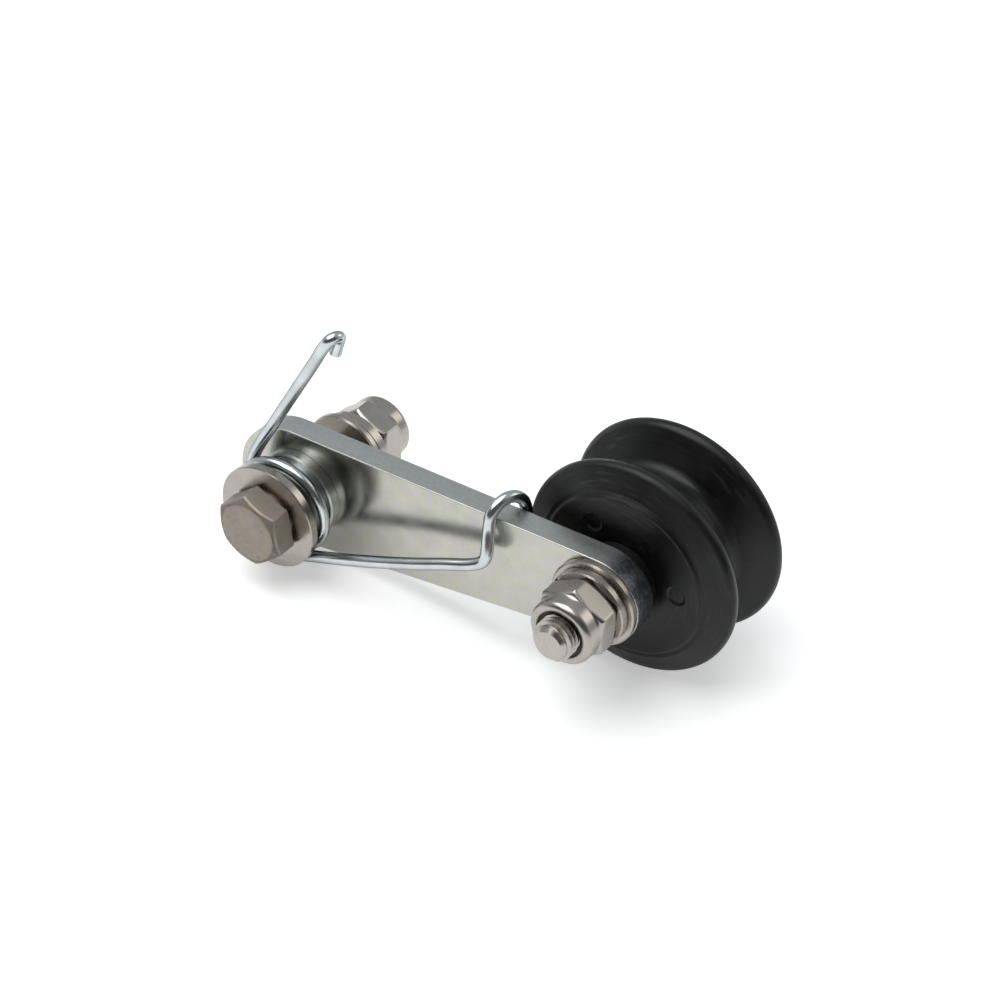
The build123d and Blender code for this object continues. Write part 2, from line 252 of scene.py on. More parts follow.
class Finish:
    """A node material in the making."""

    def __init__(self, name, colour, metallic, roughness):
        self.material = bpy.data.materials.new(name)
        self.material.use_nodes = True
        self.tree = self.material.node_tree
        self.surface = self.tree.nodes["Principled BSDF"]
        self.surface.inputs["Metallic"].default_value = metallic
        self.surface.inputs["Base Color"].default_value = (*colour, 1)
        self.surface.inputs["Roughness"].default_value = roughness
        self.place = self.node("ShaderNodeTexCoord").outputs["Object"]

    def feed(self, socket, value):
        """Link a socket to another node's output, or set its value."""
        if isinstance(value, bpy.types.NodeSocket):
            self.tree.links.new(value, socket)
        elif socket.type == "RGBA":
            socket.default_value = (*value, 1)
        else:
            socket.default_value = value

    def node(self, kind, **values):
        made = self.tree.nodes.new(kind)
        for key, value in values.items():
            self.feed(made.inputs[key.replace("_", " ")], value)
        return made

    def math(self, operation, *values):
        made = self.tree.nodes.new("ShaderNodeMath")
        made.operation = operation
        for socket, value in zip(made.inputs, values):
            self.feed(socket, value)
        return made.outputs[0]

    def vector(self, operation, *values):
        made = self.tree.nodes.new("ShaderNodeVectorMath")
        made.operation = operation
        for socket, value in zip(made.inputs, values):
            self.feed(socket, value)
        return made.outputs

    def spread(self, value, low, high, to_low, to_high):
        """Map a value from one range to another."""
        made = self.node("ShaderNodeMapRange", Value=value)
        for key, number in (("From Min", low), ("From Max", high), ("To Min", to_low), ("To Max", to_high)):
            made.inputs[key].default_value = number
        return made.outputs["Result"]

    def stretched(self, scale, origin=(0, 0, 0), turn=0.0):
        """Object place about an origin, turned about Y and scaled along each axis."""
        moved = self.vector("SUBTRACT", self.place, origin)["Vector"]
        made = self.node("ShaderNodeMapping", Vector=moved, Rotation=(0, turn, 0), Scale=scale)
        return made.outputs["Vector"]

    def noise(self, scale, detail=3.0, vector=None, rough=0.5):
        made = self.node(
            "ShaderNodeTexNoise", Vector=vector or self.place, Scale=scale, Detail=detail, Roughness=rough,
        )
        return made.outputs["Fac"]

    def mix(self, factor, one, two):
        made = self.tree.nodes.new("ShaderNodeMix")
        made.data_type = "RGBA"
        for index, value in ((0, factor), (6, one), (7, two)):
            self.feed(made.inputs[index], value)
        return made.outputs[2]

    def radius(self, origin):
        """Distance from an axis along Y through the origin given."""
        return self.vector("LENGTH", self.stretched((1, 0, 1), origin))["Value"]

    def rings(self, origin, lines, length_lines, detail):
        """Noise in rings round an axis along Y, so many to a metre across it and along it."""
        level = self.node("ShaderNodeSeparateXYZ", Vector=self.place).outputs["Y"]
        spot = self.node(
            "ShaderNodeCombineXYZ",
            X=self.math("MULTIPLY", level, length_lines), Y=self.math("MULTIPLY", self.radius(origin), lines),
        )
        made = self.node("ShaderNodeTexNoise", Scale=1.0, Detail=detail)
        made.noise_dimensions = "2D"
        self.feed(made.inputs["Vector"], spot.outputs["Vector"])
        return made.outputs["Fac"]

    def bump(self, height, depth, strength=1.0, below=None):
        made = self.node("ShaderNodeBump", Height=height, Distance=depth, Strength=strength)
        if below is not None:
            self.tree.links.new(below, made.inputs["Normal"])
        return made.outputs["Normal"]

    def steepness(self):
        """How far a face looks along Y: 1 on faces square to it, 0 on the rims."""
        normal = self.node("ShaderNodeTexCoord").outputs["Normal"]
        return self.math("ABSOLUTE", self.node("ShaderNodeSeparateXYZ", Vector=normal).outputs["Y"])

    def set(self, **sockets):
        for key, value in sockets.items():
            self.tree.links.new(value, self.surface.inputs[key.replace("_", " ")])
        return self.material


def lighter(colour, by):
    return tuple(min(1.0, c * by) for c in colour)


def tinted(colour, by):
    return tuple(c * k for c, k in zip(colour, by))


def plate_finish(look):
    """Zinc plate on rolled bar: blurred mirror faces, matt sawn edges, and painted shade that darkens the
    edges round the axle end.
    """
    f = Finish("zinc_plate", look.plate, 1.0, look.plate_rough)
    face = f.spread(f.steepness(), 0.6, 0.9, 0.0, 1.0)
    along = f.stretched((12, 300, 260), turn=lie)
    cloud = f.noise(240, 5)
    hue = f.noise(430, 4, f.stretched((1, 1, 1), (0.4, 0.1, 0.2)))
    grain = f.noise(1.0, 4, along)
    speck = f.noise(1600, 2)
    sallow = tinted(look.plate, (1.01, 1.01, 0.93))
    ruddy = tinted(look.plate, (1.02, 0.97, 1.03))
    warm = f.mix(f.spread(hue, 0.38, 0.62, 0, 1), sallow, ruddy)
    shine = f.mix(f.spread(cloud, 0.35, 0.65, 0, 0.2), warm, lighter(look.plate, 0.6))
    shine = f.mix(f.spread(speck, 0.6, 0.72, 0, 0.4), shine, lighter(look.plate, 0.7))
    pale, dull = lighter(look.plate_edge, 1.05), lighter(look.plate_edge, 0.93)
    edge = f.mix(f.spread(speck, 0.35, 0.65, 0, 1), pale, dull)
    # painted shade: past the axle the sawn edges take a darker, speckled zinc, standing in for the shade next
    # to the black roller
    end_shade_dark, end_shade_light = lighter(look.plate_end_shade, 0.75), lighter(look.plate_end_shade, 1.35)
    end = f.mix(f.spread(f.noise(1300, 3), 0.42, 0.62, 0, 1), end_shade_dark, end_shade_light)
    reach = f.node("ShaderNodeSeparateXYZ", Vector=f.stretched((1, 1, 1), turn=lie)).outputs["X"]
    axle = hypot(axle_x, axle_z)
    tip = f.spread(reach, axle + 0.0005, axle + 0.004, 0, 1)
    edge = f.mix(tip, edge, end)
    rough_face = f.spread(cloud, 0.3, 0.7, look.plate_rough - 0.03, look.plate_rough + 0.05)
    rough_edge = f.spread(grain, 0.3, 0.7, 0.3, 0.38)
    on_face = f.math("MULTIPLY", face, rough_face)
    on_edge = f.math("MULTIPLY", f.math("SUBTRACT", 1, face), rough_edge)
    rough = f.math("ADD", on_face, on_edge)
    fine = f.bump(grain, 0.00002, 0.35)
    normal = f.bump(speck, 0.00001, 0.3, fine)
    return f.set(Base_Color=f.mix(face, edge, shine), Roughness=rough, Normal=normal)


def wire_finish(look):
    """Bright bluish zinc on drawn wire, with fine lines along it."""
    f = Finish("spring_wire", look.wire, 1.0, look.wire_rough)
    f.surface.inputs["Specular Tint"].default_value = (*look.wire_rim, 1)
    run = f.node("ShaderNodeAttribute")
    run.attribute_name = "wire_run"
    lines = f.node("ShaderNodeMapping", Vector=run.outputs["Vector"], Scale=(60, 9, 9))
    drawn = f.noise(1.0, 3, lines.outputs["Vector"])
    cloud = f.noise(220, 3)
    colour = f.mix(f.spread(cloud, 0.35, 0.65, 0, 1), lighter(look.wire, 0.9), lighter(look.wire, 1.06))
    rough = f.spread(drawn, 0.3, 0.7, look.wire_rough - 0.04, look.wire_rough + 0.08)
    return f.set(Base_Color=colour, Roughness=rough, Normal=f.bump(drawn, 0.00002, 0.3))


def turned_finish(name, colour, roughness, origin, depth):
    """Turned metal with fine tool lines round its axis."""
    f = Finish(name, colour, 1.0, roughness)
    lines = f.rings(origin, 5200, 5200, 3.0)
    cloud = f.noise(190, 3)
    tone = f.mix(f.spread(cloud, 0.35, 0.65, 0, 1), lighter(colour, 0.9), lighter(colour, 1.07))
    rough = f.spread(lines, 0.3, 0.7, roughness - 0.04, roughness + 0.07)
    return f.set(Base_Color=tone, Roughness=rough, Normal=f.bump(lines, 0.00001, depth))


def steel_finish(name, colour, rough_mid):
    """Stainless steel, warm grey, with cloudy polish."""
    f = Finish(name, colour, 1.0, rough_mid)
    cloud = f.noise(260, 4)
    fine = f.noise(2600, 2)
    tone = f.mix(f.spread(cloud, 0.3, 0.7, 0, 1), lighter(colour, 0.92), lighter(colour, 1.07))
    rough = f.spread(cloud, 0.3, 0.7, rough_mid - 0.03, rough_mid + 0.05)
    return f.set(Base_Color=tone, Roughness=rough, Normal=f.bump(fine, 0.00001, 0.2))


def formed_finish(name, colour, rough_mid, seat, way):
    """Cold-formed bolt: plain shank, and a head past its seat that is mottled, dented and pitted."""
    f = Finish(name, colour, 1.0, rough_mid)
    level = f.node("ShaderNodeSeparateXYZ", Vector=f.place).outputs["Y"]
    head = f.spread(f.math("MULTIPLY", f.math("SUBTRACT", level, seat), way), 0.0004, 0.0016, 0, 1)
    cloud = f.noise(260, 4)
    dents = f.noise(900, 3)
    fine = f.noise(2600, 2)
    sallow = tinted(colour, (1.01, 1.03, 0.93))
    ruddy = tinted(colour, (1.0, 0.97, 1.03))
    hue = f.mix(f.spread(f.noise(420, 3), 0.4, 0.6, 0, 1), sallow, ruddy)
    tone = f.mix(f.math("MULTIPLY", head, 0.8), colour, hue)
    tone = f.mix(f.spread(cloud, 0.35, 0.65, 0, 0.2), tone, lighter(colour, 0.6))
    hole = f.node("ShaderNodeTexVoronoi", Vector=f.place, Scale=760.0, Randomness=1.0)
    patch = f.math("MULTIPLY", f.spread(f.noise(330, 2), 0.5, 0.6, 0, 1), head)
    pit = f.math("MULTIPLY", f.spread(hole.outputs["Distance"], 0.1, 0.32, 1, 0), patch)
    tone = f.mix(f.math("MULTIPLY", pit, 0.35), tone, lighter(colour, 0.4))
    rough = f.spread(dents, 0.3, 0.7, rough_mid - 0.05, rough_mid + 0.08)
    # the die leaves the slanted rim of the head's face rougher than the rest
    steep = f.steepness()
    slant = f.math("MULTIPLY", f.spread(steep, 0.5, 0.7, 0, 1), f.spread(steep, 0.93, 0.99, 1, 0))
    rough = f.math("ADD", rough, f.math("MULTIPLY", f.math("MULTIPLY", slant, head), 0.3))
    normal = f.bump(fine, 0.00001, 0.25)
    normal = f.bump(f.math("MULTIPLY", dents, head), 0.00004, 0.5, normal)
    normal = f.bump(f.math("MULTIPLY", pit, -1.0), 0.00007, 0.8, normal)
    return f.set(Base_Color=tone, Roughness=rough, Normal=normal)


def plastic_finish(name, colour, roughness, origin, lines, wear):
    """Turned black plastic: soft sheen, fine rings and scuffed patches."""
    f = Finish(name, colour, 0.0, roughness)
    f.surface.inputs["Specular IOR Level"].default_value = 0.36
    rings = f.rings(origin, lines, lines * 0.8, 2.0)
    cloud = f.noise(110, 4)
    grain = f.noise(2200, 2)
    dust = f.math("MULTIPLY", f.spread(cloud, 0.5, 0.72, 0, 1), f.spread(grain, 0.4, 0.7, 0, 1))
    # short scuffs that run round the axis, in patches
    level = f.node("ShaderNodeSeparateXYZ", Vector=f.place).outputs["Y"]
    away = f.node("ShaderNodeSeparateXYZ", Vector=f.stretched((1, 1, 1), origin))
    turn = f.math("ARCTAN2", away.outputs["Z"], away.outputs["X"])
    stroke = f.node(
        "ShaderNodeCombineXYZ",
        X=f.math("MULTIPLY", turn, 4.5),
        Y=f.math("MULTIPLY", f.radius(origin), lines * 0.9),
        Z=f.math("MULTIPLY", level, lines * 0.9),
    )
    patch = f.spread(f.noise(85, 3, f.stretched((1, 1, 1), (0.3, 0.2, 0.7))), 0.46, 0.62, 0, 1)
    scuff = f.math("MULTIPLY", f.spread(f.noise(1.0, 4, stroke.outputs["Vector"]), 0.52, 0.72, 0, 1), patch)
    tone = f.mix(f.math("MULTIPLY", dust, 0.6), colour, lighter(colour, 3.0))
    tone = f.mix(f.math("MULTIPLY", scuff, wear), tone, lighter(colour, 12.0))
    worn = f.spread(cloud, 0.3, 0.7, roughness - 0.09, roughness + 0.09)
    rough = f.math("ADD", worn, f.spread(rings, 0.3, 0.7, -0.04, 0.04))
    normal = f.bump(grain, 0.00002, 0.25, f.bump(rings, 0.00004, 0.35))
    return f.set(Base_Color=tone, Roughness=rough, Normal=normal)


def dress(names, material):
    """Give CAD nodes a finish."""
    for name in names:
        mesh = nodes[name].data
        mesh.materials.clear()
        mesh.materials.append(material)


def in_row(x, y, z):
    """From the arm's own directions to the shared frame."""
    return (x * cos(lie) - z * sin(lie), y, x * sin(lie) + z * cos(lie))


def skin(name, points, faces, material):
    """Mesh object from points in metres, smooth apart from sharp edges."""
    mesh = bpy.data.meshes.new(name)
    shape = bmesh.new()
    corners = [shape.verts.new(p) for p in points]
    for face in faces:
        shape.faces.new([corners[k] for k in face])
    bmesh.ops.remove_doubles(shape, verts=shape.verts, dist=1e-7)
    bmesh.ops.dissolve_degenerate(shape, edges=shape.edges, dist=1e-7)
    bmesh.ops.recalc_face_normals(shape, faces=shape.faces)
    shape.to_mesh(mesh)
    shape.free()
    mesh.shade_smooth()
    mesh.set_sharp_from_angle(angle=radians(SHARP_EDGE))
    mesh.materials.append(material)
    made = bpy.data.objects.new(name, mesh)
    bpy.context.scene.collection.objects.link(made)
    return made


class Lathe:
    """Rings about Y, joined one to the next; a radius may depend on the heading."""

    def __init__(self, headings):
        self.headings = headings
        self.points = []
        self.faces = []
        self.last = None

    def ring(self, radius, y):
        """Next ring; radius and y are numbers or functions of the heading."""
        start = len(self.points)
        count = len(self.headings)
        for t in self.headings:
            r = radius(t) if callable(radius) else radius
            h = y(t) if callable(y) else y
            self.points.append((r * cos(t), h, r * sin(t)))
        if self.last is not None:
            for k in range(count):
                n = (k + 1) % count
                self.faces.append((self.last + k, self.last + n, start + n, start + k))
        self.last = start

    def close(self, y):
        """End disc up to the axis."""
        self.points.append((0, y, 0))
        tip = len(self.points) - 1
        count = len(self.headings)
        for k in range(count):
            self.faces.append((self.last + k, self.last + (k + 1) % count, tip))
        self.last = None

    def lift(self):
        """Start a new piece of the same mesh."""
        self.last = None


def hexagon(flats, corner, rounding):
    """Hexagon with rounded corners: its radius at a heading, and the headings to read it at."""
    half = flats / 2
    reach = (half - rounding) / cos(pi / 6)
    start = atan2((half - rounding) * tan(pi / 6), half)
    bend = pi / 6 - start

    def radius(heading):
        off = abs((heading - corner) % (pi / 3) - pi / 6)
        if off <= start:
            return half / cos(off)
        lean = pi / 6 - off
        return reach * cos(lean) + sqrt(max(0.0, rounding ** 2 - (reach * sin(lean)) ** 2))

    turns = [bend * k / 4 for k in range(-4, 4)]
    turns += [bend + 2 * start * k / 20 for k in range(20)]
    return radius, [corner + side * pi / 3 + turn for side in range(6) for turn in turns]


def bolt_shape(size, corner, total):
    """Hexagon bolt about Y: seat at 0, head towards -Y, shank of the length given towards +Y."""
    outer, headings = hexagon(size.flats, corner, size.corner_round)
    made = Lathe(headings)
    edge = size.edge_round
    top = -size.head_height
    under = -size.seat_step
    face = size.head_face / 2
    slope = tan(pi / 6)

    def chamfer(inset, above=0.0):
        return lambda t: top + (outer(t) - inset - face) * slope + above

    r = size.shank / 2
    made.ring(r, 0.0)
    made.ring(size.seat_ring / 2, 0.0)
    made.ring(size.seat_ring / 2, under)
    made.ring(lambda t: outer(t) - edge, under)
    for step in (1, 2):
        made.ring(outer, under - step * edge)
    for step in (2, 1):
        made.ring(outer, chamfer(0.0, step * edge))
    for step in (1, 2):
        made.ring(lambda t: outer(t) - step * edge, chamfer(step * edge))
    made.ring(face + edge, top + edge * slope)
    made.ring(face - edge, top)
    made.ring(face / 2, top)
    made.close(top)
    # plain part of the shank, then the thread along its helix: flat crest, flank, flat root, flank
    start = max(total - size.thread, 0.0)
    made.lift()
    made.ring(r, 0.0)
    made.ring(r, start)
    made.lift()
    root = r - size.depth
    profile = ((0.0, r), (0.125, r), (0.41, root), (0.715, root))
    turns = int(size.thread / size.pitch) + 3
    steps = 48
    base = len(made.points)
    rows = [((j + u) * size.pitch, q) for j in range(-1, turns) for u, q in profile]
    for offset, q in rows:
        for k in range(steps + 1):
            t = 2 * pi * k / steps
            y = start + offset + size.pitch * k / steps
            inside = min(max(y, start), total)
            end = r - size.tip_chamfer + (total - inside)
            fade = min(1.0, (inside - start) / size.pitch)
            radius = min(r - (r - q) * fade, end)
            made.points.append((radius * cos(t), inside, radius * sin(t)))
    wide = steps + 1
    for j in range(len(rows) - 1):
        for k in range(steps):
            a = base + j * wide + k
            made.faces.append((a, a + 1, a + wide + 1, a + wide))
    tip = r - size.tip_chamfer
    made.ring(tip, total)
    made.ring(tip * 0.9, total)
    made.close(total)
    return made


def nut_shape(size, corner):
    """Lock nut about Y: seat at 0, rounded collar towards +Y."""
    outer, headings = hexagon(size.flats, corner, size.corner_round)
    made = Lathe(headings)
    face = size.nut_face / 2
    collar = size.collar / 2
    edge = size.nut_edge
    slope = tan(pi / 6)
    sweep = size.collar_sweep

    def shrunk(inset, least):
        return lambda t: max(outer(t) - inset, least)

    def low(radius, above=0.0):
        return lambda t: (radius(t) - face) * slope + above

    def high(radius, above=0.0):
        return lambda t: size.nut_hex - (radius(t) - face) * slope + above

    bore = size.shank / 2 + size.bore_play
    made.ring(bore, size.bore_ease)
    made.ring(bore + size.bore_ease, 0.0)
    made.ring(face - edge, 0.0)
    foot = shrunk(edge, face + HAIR)
    made.ring(foot, low(foot))
    for step in (1, 2):
        made.ring(outer, low(outer, step * edge))
    for step in (2, 1):
        made.ring(outer, high(outer, -step * edge))
    shoulder = shrunk(edge, collar + 2 * HAIR)
    made.ring(shoulder, high(shoulder))
    # hollow sweep from the corners into the collar
    neck = size.nut_hex - (collar - face) * slope

    def root(t):
        return min(collar + sweep, shoulder(t) - HAIR / 2)

    for part in (0.0, 0.25, 0.5, 0.75, 1.0):
        far, near = (1 - part) ** 2, part ** 2
        mid = 1 - far - near
        made.ring(
            lambda t: far * root(t) + (mid + near) * collar,
            lambda t: far * high(root)(t) + mid * neck + near * (neck + sweep),
        )
    turn = size.collar_round
    bow = size.nut_height - turn
    for k in range(9):
        a = pi / 2 * k / 8
        made.ring(collar - turn * (1 - cos(a)), bow + turn * sin(a))
    mouth = size.mouth / 2
    lip = max(0.0, collar - turn - mouth)
    for k in range(1, 5):
        a = pi / 2 * k / 4
        made.ring(collar - turn - lip * sin(a), size.nut_height - min(lip, size.lip) * (1 - cos(a)))
    made.ring(mouth, size.nut_height - size.lip - size.bore_ease)
    return made


def placed(points, x, y, z, turned_round=False):
    """Points about Y moved to their place, turned end for end if asked."""
    way = -1 if turned_round else 1
    return [(way * a + x, way * b + y, c + z) for a, b, c in points]


def heading(corner, turned_round=False):
    """Heading of a corner in the shared frame, before a piece is turned end for end."""
    whole = corner + lie
    return pi - whole if turned_round else whole


def spring_route(size):
    """Points along the middle of the wire, from the frame hook to the hook on the arm."""
    coil_r = size.coil / 2
    spread = size.lead_radius - coil_r
    start = size.frame_heading + pi
    end = size.arm_heading + 4 * pi
    y_end = bush_front + size.wire / 2 + size.end_gap
    route = []

    def leave(head, turn):
        return (
            -spread * sin(turn) + size.lead_radius * sin(head),
            spread * cos(turn) - size.lead_radius * cos(head),
        )

    def level(head):
        return y_end + size.pitch * (end - head) / (2 * pi)

    x0, z0 = leave(start, start + size.frame_lead)
    y0 = level(start)
    a = size.frame_heading
    xs = x0 + size.frame_leg * cos(a)
    zs = z0 + size.frame_leg * sin(a)
    bend = []
    for b in range(180, -1, -30):
        out = size.hook_radius * sin(radians(b))
        over = size.hook_radius * (1 - cos(radians(b)))
        side = over * sin(size.hook_turn)
        bend.append((
            xs + out * cos(a) + side * sin(a),
            y0 + over * cos(size.hook_turn),
            zs + out * sin(a) - side * cos(a),
        ))
    xt, yt, zt = bend[0]
    for s in (1.0, 0.7, 0.4):
        route.append((xt - size.tail * s * sin(size.tail_lean), yt, zt - size.tail * s * cos(size.tail_lean)))
    route += bend
    for k in range(5, -1, -1):
        s = size.frame_leg * k / 6
        route.append((x0 + s * cos(a), y0, z0 + s * sin(a)))
    for part in (0.34, 0.67):
        head = start + size.frame_lead * part
        x, z = leave(head, start + size.frame_lead)
        route.append((x, level(head), z))
    steps = 26
    for k in range(steps + 1):
        head = start + size.frame_lead + (end - start - size.frame_lead - size.arm_lead) * k / steps
        route.append((coil_r * sin(head), level(head), -coil_r * cos(head)))
    for part in (0.5, 1.0):
        head = end - size.arm_lead + size.arm_lead * part
        x, z = leave(head, end - size.arm_lead)
        route.append((x, level(head), z))
    x1, y1, z1 = route[-1]
    b = size.arm_heading
    for k in range(1, 3):
        s = size.leg_straight * k / 2
        route.append((x1 + s * cos(b), y1, z1 + s * sin(b)))
    for k in range(1, 7):
        s = size.leg_straight + size.leg_drawn * k / 6
        route.append((x1 + s * cos(b), y1 + size.set_back * (k / 6) ** 2, z1 + s * sin(b)))
    x2, y2, z2 = route[-1]
    y_hook = arm_front - size.edge_gap_front - size.wire / 2
    for k in range(1, 4):
        h = b + (size.upright - b) * k / 3
        dx = size.leg_bend * (sin(h) - sin(b))
        dz = size.leg_bend * (cos(b) - cos(h))
        route.append((x2 + dx, y2 + (y_hook - y2) * k / 8, z2 + dz))
    x3, y3, z3 = route[-1]
    centres = hypot(axle_x, axle_z)
    slope = (size.plate_pivot_radius - size.plate_axle_radius) / (centres + size.plate_pivot_offset)
    z_edge = (size.plate_axle_radius + (centres - x3) * slope) / sqrt(1 - slope ** 2)
    z_hook = z_edge - size.wire * size.hook_sink
    x_hook = x3 + (z_hook - z3) / tan(size.upright)
    route.append(((x3 + x_hook) / 2, (y3 + y_hook) / 2, (z3 + z_hook) / 2))
    span = arm_back - arm_front + size.edge_gap_front + size.edge_gap_back + size.wire
    hook_r = span / 2 / cos(size.hook_skew)
    for b in range(0, 181, 30):
        away = hook_r * (1 - cos(radians(b)))
        aside, back = away * sin(size.hook_skew), away * cos(size.hook_skew)
        route.append((x_hook + aside, y_hook + back, z_hook + hook_r * sin(radians(b))))
    x4, y4, z4 = route[-1]
    for s in (0.5, 1.0):
        route.append((x4, y4, z4 - size.hook_tail * s))
    return [in_row(*p) for p in route]


def smooth_line(route, spacing):
    """Cubic spline through the route, read at even steps: points and directions."""
    p = np.array(route)
    gaps = np.linalg.norm(np.diff(p, axis=0), axis=1)
    t = np.concatenate([[0], np.cumsum(gaps)])
    n = len(p)
    left = np.zeros((n, n))
    right = np.zeros((n, 3))
    left[0, 0] = left[-1, -1] = 1
    for k in range(1, n - 1):
        h0, h1 = gaps[k - 1], gaps[k]
        left[k, k - 1:k + 2] = h0, 2 * (h0 + h1), h1
        right[k] = 6 * ((p[k + 1] - p[k]) / h1 - (p[k] - p[k - 1]) / h0)
    m = np.linalg.solve(left, right)
    at = np.linspace(0, t[-1], int(t[-1] / spacing))
    k = np.clip(np.searchsorted(t, at, side="right") - 1, 0, n - 2)
    h = gaps[k][:, None]
    u = (at - t[k])[:, None]
    v = h - u
    place = m[k] * v ** 3 / (6 * h) + m[k + 1] * u ** 3 / (6 * h)
    place += (p[k] / h - m[k] * h / 6) * v + (p[k + 1] / h - m[k + 1] * h / 6) * u
    way = -m[k] * v ** 2 / (2 * h) + m[k + 1] * u ** 2 / (2 * h)
    way += (p[k + 1] - p[k]) / h - (m[k + 1] - m[k]) * h / 6
    return place, way / np.linalg.norm(way, axis=1)[:, None]


def wire_shape(size):
    """Round wire along the spring's route with square-cut, slightly burred ends."""
    place, way = smooth_line(spring_route(size), size.spacing)
    across = np.cross(way[0], (0, 1, 0))
    across /= np.linalg.norm(across)
    points, faces, run = [], [], []
    sides = size.sides
    r = size.wire / 2

    def ring(centre, direction, side, radius, s):
        other = np.cross(direction, side)
        start = len(points)
        for k in range(sides):
            a = 2 * pi * k / sides
            points.append(tuple(centre + radius * (cos(a) * side + sin(a) * other)))
            run.append((s, cos(a), sin(a)))
        return start

    last = None
    ease = r * size.burr
    rings = [(place[0], way[0], 0.0), (place[0], way[0], r - ease)]
    rings.append((place[0] + way[0] * ease, way[0], r))
    rings += [(c, d, r) for c, d in zip(place[1:-1], way[1:-1])]
    rings.append((place[-1] - way[-1] * ease, way[-1], r))
    rings += [(place[-1], way[-1], r - ease), (place[-1], way[-1], 0.0)]
    travelled, before = 0.0, place[0]
    for centre, direction, radius in rings:
        across = across - direction * np.dot(across, direction)
        across /= np.linalg.norm(across)
        travelled += float(np.linalg.norm(centre - before))
        before = centre
        if radius == 0.0:
            points.append(tuple(centre))
            run.append((travelled, 0.0, 0.0))
            start = len(points) - 1
            if last is not None:
                faces += [(last + k, last + (k + 1) % sides, start) for k in range(sides)]
            first_tip = start
            last = None
            continue
        start = ring(centre, direction, across, radius, travelled)
        if last is None:
            faces += [(first_tip, start + (k + 1) % sides, start + k) for k in range(sides)]
        else:
            for k in range(sides):
                n = (k + 1) % sides
                faces.append((last + k, last + n, start + n, start + k))
        last = start
    return points, faces, run


class TENSIONER_OT_spring(bpy.types.Operator):
    """Wind the torsion spring from round wire"""

    bl_idname = "tensioner.spring"
    bl_label = "Torsion spring"

    def execute(self, context):
        size = context.scene.tensioner_spring
        points, faces, run = wire_shape(size)
        mesh = bpy.data.meshes.new("spring_wire")
        mesh.from_pydata(points, [], faces)
        mesh.update()
        along = mesh.attributes.new("wire_run", "FLOAT_VECTOR", "POINT")
        along.data.foreach_set("vector", [c for s, a, b in run for c in (s * 1000, a, b)])
        mesh.shade_smooth()
        mesh.set_sharp_from_angle(angle=radians(SHARP_EDGE))
        mesh.materials.append(wire_finish(context.scene.tensioner_finish))
        spring = bpy.data.objects.new("spring_wire", mesh)
        context.scene.collection.objects.link(spring)
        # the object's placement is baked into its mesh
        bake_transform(spring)
        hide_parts("torsion_spring")
        return {"FINISHED"}


class TENSIONER_OT_bolts(bpy.types.Operator):
    """Make both hexagon bolts with their threads"""

    bl_idname = "tensioner.bolts"
    bl_label = "Bolts"

    def execute(self, context):
        size = context.scene.tensioner_fasteners
        look = context.scene.tensioner_finish
        for node, body, round_about, colour, rough in (
            ("pivot_bolt", "pivot_unit", False, look.formed_steel, look.formed_rough),
            ("axle_bolt", "arm_unit", True, look.bright_steel, look.steel_rough),
        ):
            low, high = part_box(node)
            total = high[1] - low[1] - size.head_height
            shape = bolt_shape(size, heading(size.head_corner, round_about), total)
            if round_about:
                seat = (axle_x, high[1] - size.head_height, axle_z)
            else:
                seat = (0, low[1] + size.head_height, 0)
            steel = formed_finish("stainless_" + node, colour, rough, seat[1], 1 if round_about else -1)
            made = skin(node + "_threaded", placed(shape.points, *seat, round_about), shape.faces, steel)
            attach(made, body)
            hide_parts(node)
        return {"FINISHED"}


class TENSIONER_OT_lock_nuts(bpy.types.Operator):
    """Make both lock nuts with their rounded collars, and finish the plastic rings in them"""

    bl_idname = "tensioner.lock_nuts"
    bl_label = "Lock nuts"

    def execute(self, context):
        size = context.scene.tensioner_fasteners
        look = context.scene.tensioner_finish
        steel = steel_finish("stainless_nut", look.steel, look.steel_rough)
        for node, body, round_about, corner in (
            ("pivot_nut", "pivot_unit", False, size.pivot_nut_corner),
            ("axle_nut", "arm_unit", True, size.axle_nut_corner),
        ):
            low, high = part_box(node)
            shape = nut_shape(size, heading(corner, round_about))
            seat = (axle_x, high[1], axle_z) if round_about else (0, low[1], 0)
            made = skin(node + "_rounded", placed(shape.points, *seat, round_about), shape.faces, steel)
            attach(made, body)
            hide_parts(node)
        # painted shade: the near-black rings stand in for the shade inside the collars
        ring = plastic_finish("lock_insert", look.insert, look.insert_rough, (0, 0, 0), 2500, look.small_wear)
        dress(("pivot_nut_insert", "axle_nut_insert"), ring)
        return {"FINISHED"}


class TENSIONER_OT_washers(bpy.types.Operator):
    """Finish the flat washers and lock washers"""

    bl_idname = "tensioner.washers"
    bl_label = "Washers"

    def execute(self, context):
        look = context.scene.tensioner_finish
        names = (
            "front_washer", "rear_flat_washer", "rear_spring_washer",
            "axle_flat_washer", "axle_spring_washer", "far_washer",
        )
        dress(names, steel_finish("stainless_washers", look.steel, look.steel_rough))
        return {"FINISHED"}


class TENSIONER_OT_bush(bpy.types.Operator):
    """Finish the turned pivot bush"""

    bl_idname = "tensioner.bush"
    bl_label = "Pivot bush"

    def execute(self, context):
        look = context.scene.tensioner_finish
        zinc = turned_finish("zinc_bush", look.bush, look.turned_rough, (0, 0, 0), look.bush_lines)
        dress(("pivot_bush",), zinc)
        return {"FINISHED"}


class TENSIONER_OT_arm(bpy.types.Operator):
    """Finish the zinc-plated arm"""

    bl_idname = "tensioner.arm"
    bl_label = "Arm"

    def execute(self, context):
        dress(("arm",), plate_finish(context.scene.tensioner_finish))
        return {"FINISHED"}


